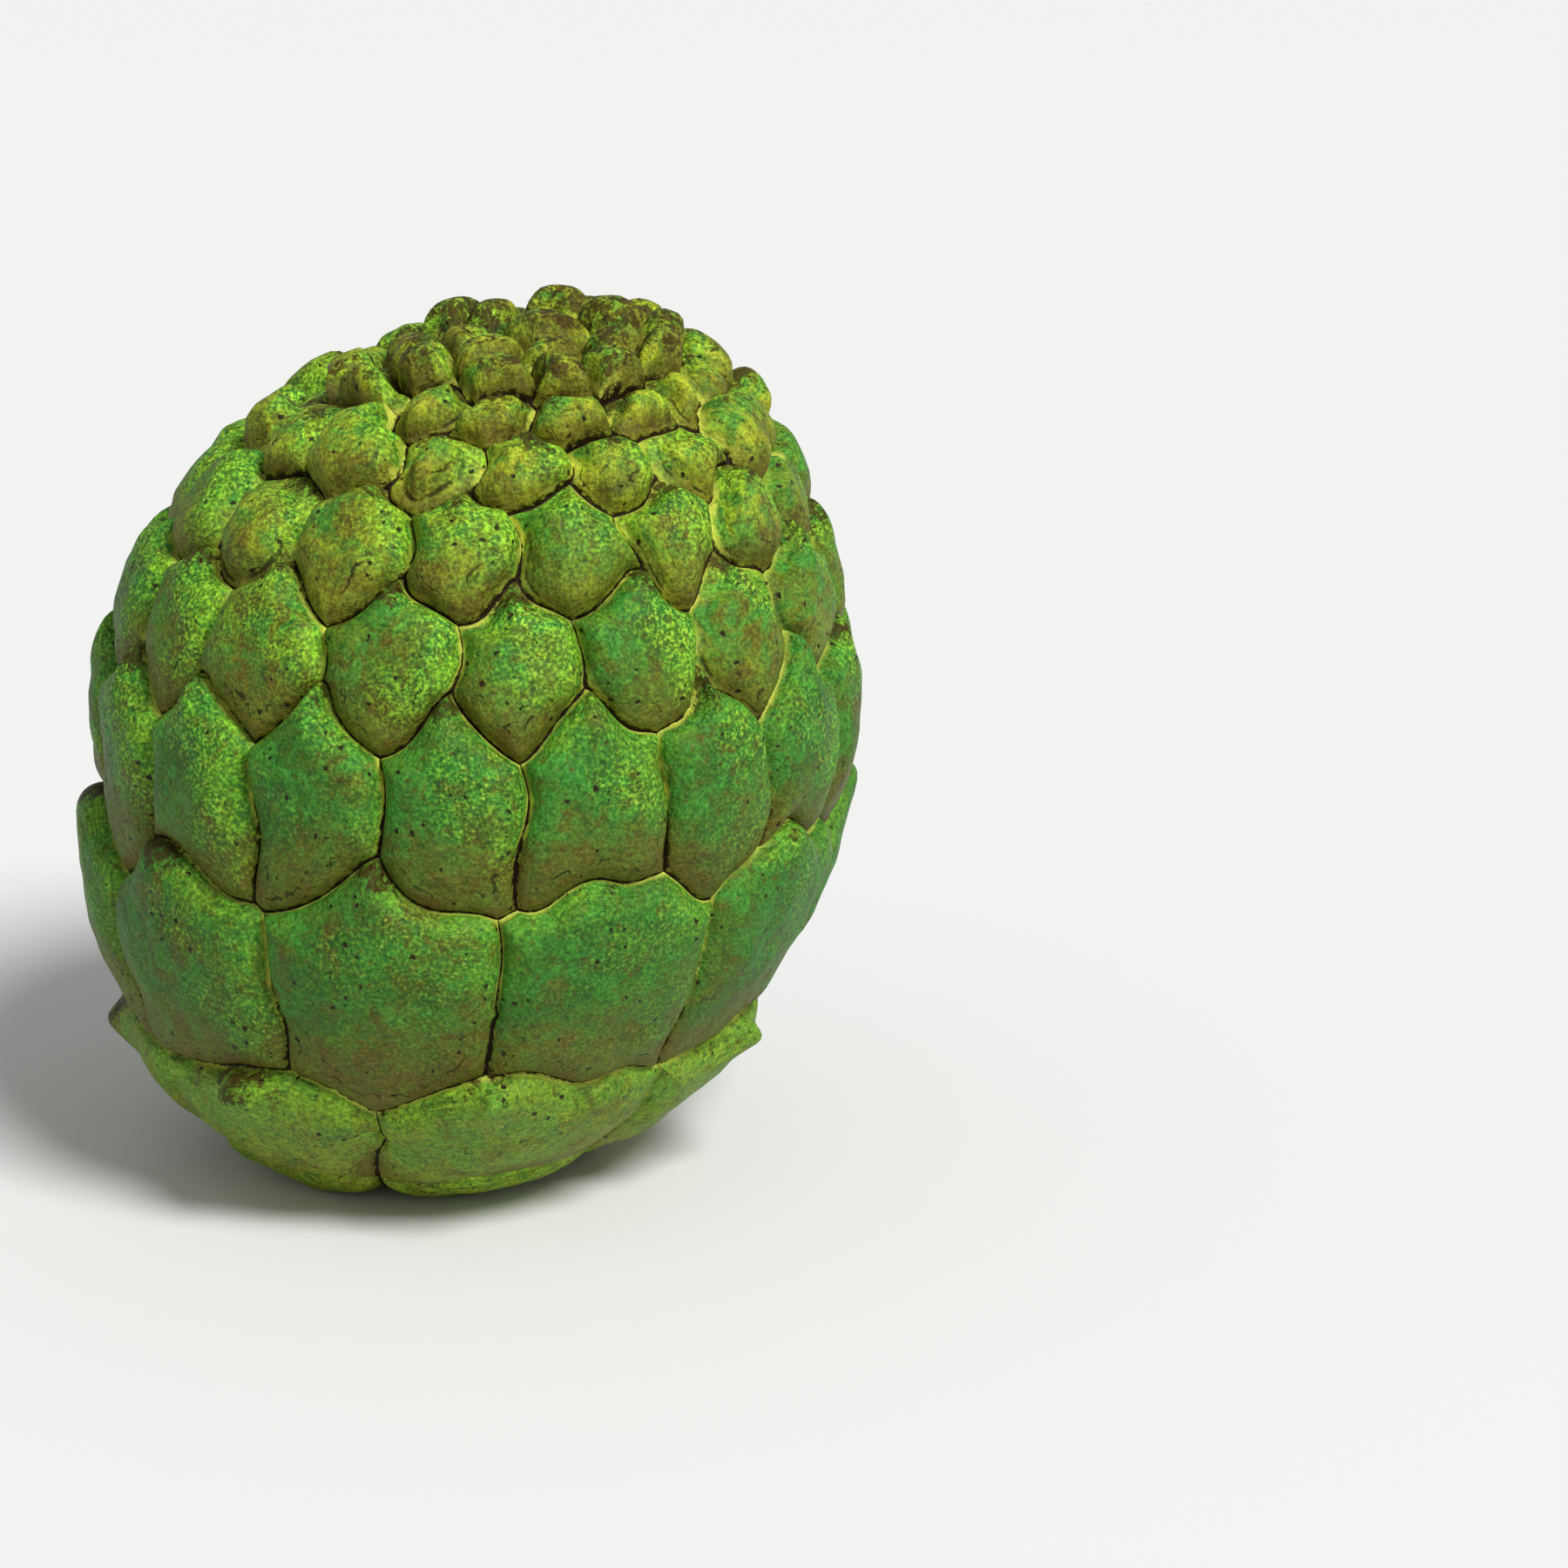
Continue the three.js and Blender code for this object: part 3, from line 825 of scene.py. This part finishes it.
    def scorch(self):
        """Dark brown patches at the tips of scales and on top of the knobs."""
        patches = self.clouds(0.62, 5.0, 0.8, 0.4)
        at_tip = self.times(self.band(self.from_tip, 7.0, 1.5),
                            self.band(self.chance, 0.3, 0.6, 0.35, 1.0))
        on_knob = self.times(self.band(self.level, 0.6, 0.8),
                             self.band(self.rise, 2.6, 5.0, 0.0, 0.85))
        where = self.maths("MAXIMUM", at_tip, on_knob)
        threshold = self.add(0.63, where, -0.22)
        return self.times(self.band(self.maths("SUBTRACT", patches, threshold), 0.0, 0.08),
                          self.band(where, 0.08, 0.35))


def skin_material(looks):
    """Green rind: grainy, mottled and speckled, pale where a scale begins, dark in the creases,
    with painted highlights towards the light and painted shade low on the scales and between the
    knobs.
    """
    s = Rind(looks)
    fibres, specks, scorch, fold, crease = s.fibres(), s.specks(), s.scorch(), s.fold(), s.crease()
    # Painted highlight in lime along each scale's upper edge.
    colour = s.tint(s.ground(), s.times(s.shelf_highlight(), 0.4), "lime")
    colour = s.grain_colours(s.mottle(colour))
    colour = s.shaded(colour, s.band(fibres, -0.16, 0.16, 0.6, 1.4))
    # What lies over the grain, in this order: its pattern, how strongly it shows, and its colour.
    layers = [
        # Painted glints, in the pale rim colour.
        (s.painted_glints(), 1.0, "rim"),
        (s.belt(), 0.12, "rim"),
        # Painted shade low on each scale, in brown.
        (s.underside_shade(), 0.6, "brown"),
        # Painted shade between the knobs at the tip, in the scorch colour.
        (s.gap(), 0.75, "scorch"),
        (s.scar(), 0.8, "brown"),
        # Pale line of the rind, partly a painted highlight along upper edges.
        (s.rim(), 1.0, "rim"),
        (specks, 0.95, "speck"),
        (scorch, 0.85, "scorch"),
        (fold, 0.8, "crease"),
        # Dark crease line, painted shade where it is broad under a scale.
        (crease, 1.0, "crease"),
    ]
    for pattern, strength, name in layers:
        colour = s.tint(colour, s.times(pattern, strength), name)
    # Relief that is too fine for the mesh: its pattern, and how far out or in it goes.
    relief = [
        (s.clouds(0.35, 3.0, 0.55), 2.0), (s.fine, 0.4), (s.granules, 0.45), (fibres, 1.1),
        (specks, -0.25), (scorch, -0.15), (fold, -0.45), (crease, -0.4),
    ]
    bumps = 0.0
    for pattern, weight in relief:
        bumps = s.add(bumps, pattern, weight)
    bump = s.node("ShaderNodeBump", {"Strength": BUMP_STRENGTH, "Distance": BUMP_DEPTH * MM,
                                     "Height": bumps})
    s.plug(s.surface.inputs["Base Color"], colour)
    s.plug(s.surface.inputs["Roughness"], s.band(s.fine, 0.2, 0.8, 0.4, 0.62))
    s.plug(s.surface.inputs["Specular IOR Level"], SHINE)
    s.plug(s.surface.inputs["Normal"], bump.outputs[0])
    return s.material


def plain_material(name, colour, roughness):
    s = Shader(name)
    s.plug(s.surface.inputs["Base Color"], colour)
    s.plug(s.surface.inputs["Roughness"], roughness)
    return s.material


def colour_property(name, description, default):
    return bpy.props.FloatVectorProperty(name=name, description=description, default=default,
                                         size=4, min=0.0, max=1.0, subtype="COLOR")


class CustardAppleLooks(bpy.types.PropertyGroup):
    """Colours of the rind, and of the highlights and shade painted on it."""

    deep_green: colour_property("Deep green", "Upper part of the big scales", tone(52, 104, 34))
    olive: colour_property("Olive", "Lower part of the scales", tone(98, 112, 32))
    high_green: colour_property("High green", "Small scales near the tip", tone(186, 192, 46))
    # Lime paints the highlight on the side and upper edge of a scale towards the light, and the
    # light granules, which are partly grain and partly painted highlight.
    lime: colour_property("Lime", "Side of a scale towards the light", tone(130, 188, 42))
    fresh_green: colour_property("Fresh green", "Bright green clouds", tone(58, 138, 48))
    dark_green: colour_property("Dark green", "Dark flecks", tone(40, 80, 26))
    # Brown also paints the shade low on each scale.
    brown: colour_property("Brown", "Clouds and flecks low on the scales", tone(92, 74, 24))
    # Rim is the pale line and margin of the rind, and also paints the glints and the highlight
    # along upper edges.
    rim: colour_property("Rim", "Pale line beside the creases", tone(222, 226, 92))
    speck: colour_property("Speck", "Small dark dots", tone(36, 20, 8))
    # Scorch also paints the shade between the knobs at the tip.
    scorch: colour_property("Scorch", "Brown patches on tips and knobs", tone(58, 30, 8))
    # Crease also paints the shade under a scale, where the crease is broad.
    crease: colour_property("Crease", "Bottom of the creases", tone(34, 20, 8))


class CustardAppleStage(bpy.types.PropertyGroup):
    """Floor, lights and camera."""

    floor_colour: colour_property("Floor", "Colour of the plain floor", (0.82, 0.82, 0.81, 1.0))
    key_strength: bpy.props.FloatProperty(
        name="Key light", description="Strength of the broad light from the upper right",
        default=3.2, min=0.0)
    sky_strength: bpy.props.FloatProperty(
        name="Sky", description="Strength of the even light from all round", default=0.36, min=0.0)
    elevation: bpy.props.FloatProperty(
        name="Camera height angle", description="How far the camera looks down",
        default=math.radians(17), subtype="ANGLE", unit="ROTATION")
    distance: bpy.props.FloatProperty(
        name="Camera distance", description="From the camera to the fruit",
        default=0.62, min=0.1, unit="LENGTH", subtype="DISTANCE")


class CUSTARD_OT_fruit(bpy.types.Operator):
    """Grow the fruit's skin and dress it"""

    bl_idname = "custard.fruit"
    bl_label = "Grow the fruit"

    def execute(self, context):
        piece = mesh_object("fruit_skin", grow_skin())
        select_only(piece)
        bpy.ops.object.mode_set(mode="EDIT")
        bpy.ops.mesh.select_all(action="SELECT")
        bpy.ops.mesh.normals_make_consistent(inside=False)
        bpy.ops.object.mode_set(mode="OBJECT")
        bpy.ops.object.shade_smooth()
        piece.data.materials.append(skin_material(context.scene.custard_looks))
        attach(piece, "root")
        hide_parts(FRUIT_NODE)
        return {"FINISHED"}


def broad_sun(name, direction, strength, spread):
    """A soft light from far off, which lights the whole floor alike."""
    light = bpy.data.lights.new(name, "SUN")
    light.energy = strength
    light.angle = spread
    lamp = bpy.data.objects.new(name, light)
    lamp.location = Vector(direction) * 2
    lamp.rotation_euler = Vector(direction).to_track_quat("Z", "Y").to_euler()
    bpy.context.collection.objects.link(lamp)


def even_sky(strength):
    """White light of one strength from all round."""
    world = bpy.data.worlds.new("studio")
    world.use_nodes = True
    background = world.node_tree.nodes["Background"]
    background.inputs["Color"].default_value = (1.0, 1.0, 1.0, 1.0)
    background.inputs["Strength"].default_value = strength
    bpy.context.scene.world = world


class CUSTARD_OT_stage(bpy.types.Operator):
    """Lay the floor and set the lights and the camera"""

    bl_idname = "custard.stage"
    bl_label = "Set the stage"

    def execute(self, context):
        stage = context.scene.custard_stage
        bpy.ops.object.select_all(action="DESELECT")
        bpy.ops.mesh.primitive_plane_add(size=FLOOR_SIZE, location=(0, 0, 0))
        floor = context.object
        floor.name = "floor"
        colour = tuple(stage.floor_colour)
        floor.data.materials.append(plain_material("floor", colour, FLOOR_ROUGHNESS))
        broad_sun("key_light", KEY_DIRECTION, stage.key_strength, math.radians(KEY_SPREAD))
        even_sky(stage.sky_strength)
        context.scene.view_settings.view_transform = "Standard"
        set_camera(Vector(-ORIGIN * MM), stage.elevation, stage.distance)
        return {"FINISHED"}


def set_camera(middle, elevation, distance):
    """A camera that looks down on the fruit and shows its middle at the photograph's pixel."""
    up = Vector((0, math.sin(elevation), math.cos(elevation)))
    right = Vector((1, 0, 0))
    forward = Vector((0, math.cos(elevation), -math.sin(elevation)))
    half = PHOTO_WIDTH / 2
    aside = (half - MIDDLE_PIXEL[0]) / PIXELS_PER_MM * MM
    lift = (MIDDLE_PIXEL[1] - half) / PIXELS_PER_MM * MM
    target = middle + right * aside + up * lift
    camera = bpy.data.cameras.new("camera")
    camera.sensor_width = SENSOR
    camera.lens = SENSOR * PIXELS_PER_MM * (distance / MM) / PHOTO_WIDTH
    rig = bpy.data.objects.new("camera", camera)
    rig.location = target - forward * distance
    rig.rotation_euler = forward.to_track_quat("-Z", "Y").to_euler()
    bpy.context.collection.objects.link(rig)
    bpy.context.scene.camera = rig


class CUSTARD_PT_panel(bpy.types.Panel):
    """Shows the rind's colours, the stage's settings and the two steps"""

    bl_idname = "CUSTARD_PT_panel"
    bl_label = "Custard apple"
    bl_space_type = "VIEW_3D"
    bl_region_type = "UI"
    bl_category = "Custard apple"

    def draw(self, context):
        for group in (context.scene.custard_looks, context.scene.custard_stage):
            for key in group.bl_rna.properties.keys():
                if key not in ("rna_type", "name"):
                    self.layout.prop(group, key)
        self.layout.operator("custard.fruit")
        self.layout.operator("custard.stage")


CLASSES = (CustardAppleLooks, CustardAppleStage, CUSTARD_OT_fruit, CUSTARD_OT_stage,
           CUSTARD_PT_panel)


def register():
    for each in CLASSES:
        bpy.utils.register_class(each)
    bpy.types.Scene.custard_looks = bpy.props.PointerProperty(type=CustardAppleLooks)
    bpy.types.Scene.custard_stage = bpy.props.PointerProperty(type=CustardAppleStage)


def unregister():
    del bpy.types.Scene.custard_stage
    del bpy.types.Scene.custard_looks
    for each in reversed(CLASSES):
        bpy.utils.unregister_class(each)


def main():
    register()
    bpy.ops.custard.fruit()
    bpy.ops.custard.stage()


if __name__ == "__main__":
    main()
